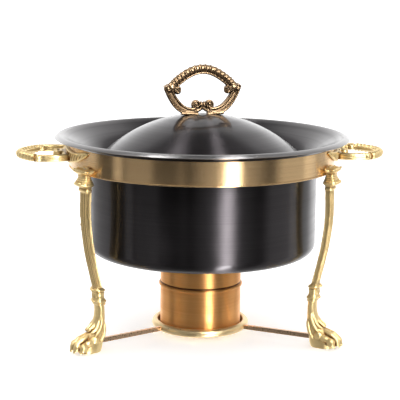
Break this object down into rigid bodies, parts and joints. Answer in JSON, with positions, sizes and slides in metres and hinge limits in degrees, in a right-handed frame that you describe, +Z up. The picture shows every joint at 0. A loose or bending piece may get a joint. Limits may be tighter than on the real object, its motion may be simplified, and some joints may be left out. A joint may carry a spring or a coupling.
{
  "type": "chafing dish",
  "caption": "Round chafing dish: domed lid, food pan and water pan on a brass band stand with paw-footed legs, side handles and a gel-fuel burner.",
  "frame": {"origin": "on the floor under the centre of the dish, at the level of the soles", "axes": "+Z up along the dish's axis; +X through the right-hand side handle; -Y towards the guest, between the two front legs, with the third leg at +Y"},
  "size_m": [0.4072, 0.3271, 0.3008],
  "materials": {
    "black_nickel": "black nickel plate, brushed round the dish",
    "band_brass": "brushed brass plate",
    "cast_brass": "polished gold-coloured plate on a casting",
    "ring_brass": "polished brass plate",
    "burner_brass": "brushed bronze-coloured plate",
    "antique_brass": "antiqued brass with dark recesses",
    "fastener_steel": "bright zinc plate",
    "can_tin": "tinplate",
    "fuel_gel": "translucent gel"
  },
  "bodies": {
    "stand": {"stand_band": "band_brass", "leg_left": "cast_brass", "leg_right": "cast_brass", "leg_rear": "cast_brass", "leg_screws": "fastener_steel", "leg_washers": "fastener_steel", "handle_left": "cast_brass", "handle_right": "cast_brass", "handle_screws": "fastener_steel", "handle_washers": "fastener_steel", "burner_ring": "ring_brass", "strut_left": "burner_brass", "strut_right": "burner_brass", "strut_rear": "burner_brass"},
    "water_pan": {"water_pan": "black_nickel"},
    "food_pan": {"food_pan": "black_nickel"},
    "lid": {"lid": "black_nickel", "lid_handle": "antique_brass", "lid_handle_screws": "fastener_steel", "lid_handle_washers": "fastener_steel"},
    "burner": {"burner_cup": "burner_brass", "fuel_can": "can_tin", "fuel_gel": "fuel_gel"},
    "burner_cover": {"burner_cover": "burner_brass", "damper_rivet": "fastener_steel"},
    "flame_damper": {"flame_damper": "burner_brass"}
  },
  "joints": [
    {"name": "water_pan_lift", "type": "slide", "parent": "stand", "child": "water_pan", "axis": [0, 0, 1], "range_m": [0, 0.13]},
    {"name": "food_pan_lift", "type": "slide", "parent": "water_pan", "child": "food_pan", "axis": [0, 0, 1], "range_m": [0, 0.115]},
    {"name": "lid_lift", "type": "slide", "parent": "food_pan", "child": "lid", "axis": [0, 0, 1], "range_m": [0, 0.1]},
    {"name": "burner_lift", "type": "slide", "parent": "stand", "child": "burner", "axis": [0, 0, 1], "range_m": [0, 0.0075]},
    {"name": "cover_lift", "type": "slide", "parent": "burner", "child": "burner_cover", "axis": [0, 0, 1], "range_m": [0, 0.0048]},
    {"name": "damper_swing", "type": "hinge", "parent": "burner_cover", "child": "flame_damper", "pos_m": [0, 0.037, 0.0797], "axis": [0, 0, 1], "range_deg": [-90, 0]}
  ]
}
